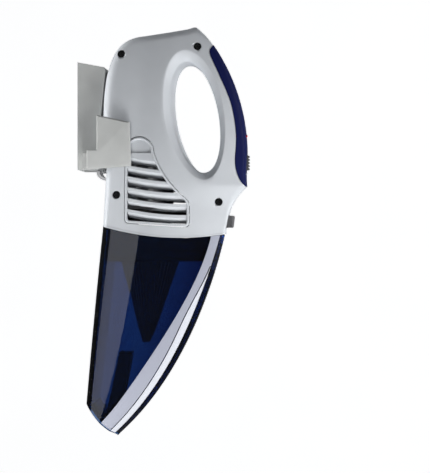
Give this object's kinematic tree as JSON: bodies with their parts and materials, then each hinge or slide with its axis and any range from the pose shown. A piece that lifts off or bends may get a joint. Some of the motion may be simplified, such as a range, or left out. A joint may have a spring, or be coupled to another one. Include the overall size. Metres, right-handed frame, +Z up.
{
  "type": "handheld vacuum",
  "caption": "Cordless handheld vacuum with a grip opening, side vents and a translucent tapered dust cup, hanging nozzle-down in a wall bracket with charging contacts.",
  "frame": {"origin": "middle of the bracket's back face, on the wall", "axes": "+X out of the wall towards the handle, +Y across towards the vacuum's left side, +Z up; the nozzle points down"},
  "size_m": [0.1604, 0.1116, 0.3866],
  "materials": {
    "bracket_plastic": "fine-grained pale grey ABS",
    "steel": "plain steel",
    "shell_silver": "silver-grey satin ABS with a faint metallic fleck",
    "cover_blue": "deep indigo, half gloss",
    "screw_black": "blackened steel",
    "lamp_red": "clear red lens",
    "lens_clear": "clear lens",
    "board_green": "solder-masked board",
    "dark_plastic": "dark moulded plastic",
    "grey_plastic": "dark grey moulded plastic",
    "cell_sleeve": "shrink sleeve",
    "filter_cloth": "pleated non-woven cloth",
    "rubber": "soft black rubber",
    "fan_plastic": "natural nylon",
    "cup_blue": "translucent deep blue, high gloss",
    "trim_silver": "brushed silver foil over plastic"
  },
  "bodies": {
    "bracket": {"wall_bracket": "bracket_plastic", "wall_screw_low": "steel", "wall_screw_high": "steel", "charge_contact_right": "steel", "charge_contact_left": "steel"},
    "vacuum": {"right_shell": "shell_silver", "left_shell": "shell_silver", "handle_cover": "cover_blue", "right_vent_grille": "shell_silver", "left_vent_grille": "shell_silver", "case_screw_top_back": "screw_black", "case_screw_top_front": "screw_black", "case_screw_low_back": "screw_black", "case_screw_low_front": "screw_black", "contact_pad_right": "steel", "contact_pad_left": "steel", "indicator_lamp": "lamp_red", "charge_lens": "lens_clear", "circuit_board": "board_green", "switch_block": "dark_plastic", "motor_can": "steel", "motor_mount": "dark_plastic", "fan_housing": "dark_plastic", "battery_tray": "dark_plastic", "battery_cell_1": "cell_sleeve", "battery_cell_2": "cell_sleeve", "battery_cell_3": "cell_sleeve", "battery_cell_4": "cell_sleeve", "filter_frame": "dark_plastic", "filter_cone": "filter_cloth", "filter_seal": "rubber", "release_spring": "steel"},
    "rotor": {"motor_shaft": "steel", "fan_impeller": "fan_plastic"},
    "power_switch": {"switch_slider": "grey_plastic"},
    "cup_release": {"release_button": "grey_plastic"},
    "cup": {"dust_cup": "cup_blue", "cup_trim_right": "trim_silver", "cup_trim_left": "trim_silver", "intake_duct": "dark_plastic"},
    "flap": {"intake_flap": "rubber"}
  },
  "joints": [
    {"name": "lift_off", "type": "slide", "parent": "bracket", "child": "vacuum", "axis": [0.7071, 0, 0.7071], "range_m": [0, 0.15]},
    {"name": "fan_spin", "type": "hinge", "parent": "vacuum", "child": "rotor", "pos_m": [0.07, 0, -0.095], "axis": [0, 0, 1], "continuous": true},
    {"name": "switch_slide", "type": "slide", "parent": "vacuum", "child": "power_switch", "axis": [0, 0, 1], "range_m": [0, 0.006]},
    {"name": "release_press", "type": "slide", "parent": "vacuum", "child": "cup_release", "axis": [-1, 0, 0], "range_m": [0, 0.003], "stiffness_N_per_m": 400, "deforming": ["release_spring"]},
    {"name": "cup_off", "type": "slide", "parent": "vacuum", "child": "cup", "axis": [0, 0, -1], "range_m": [0, 0.13]},
    {"name": "flap_swing", "type": "hinge", "parent": "cup", "child": "flap", "pos_m": [0.0373, 0, -0.2246], "axis": [0, -1, 0], "range_deg": [0, 50]}
  ]
}
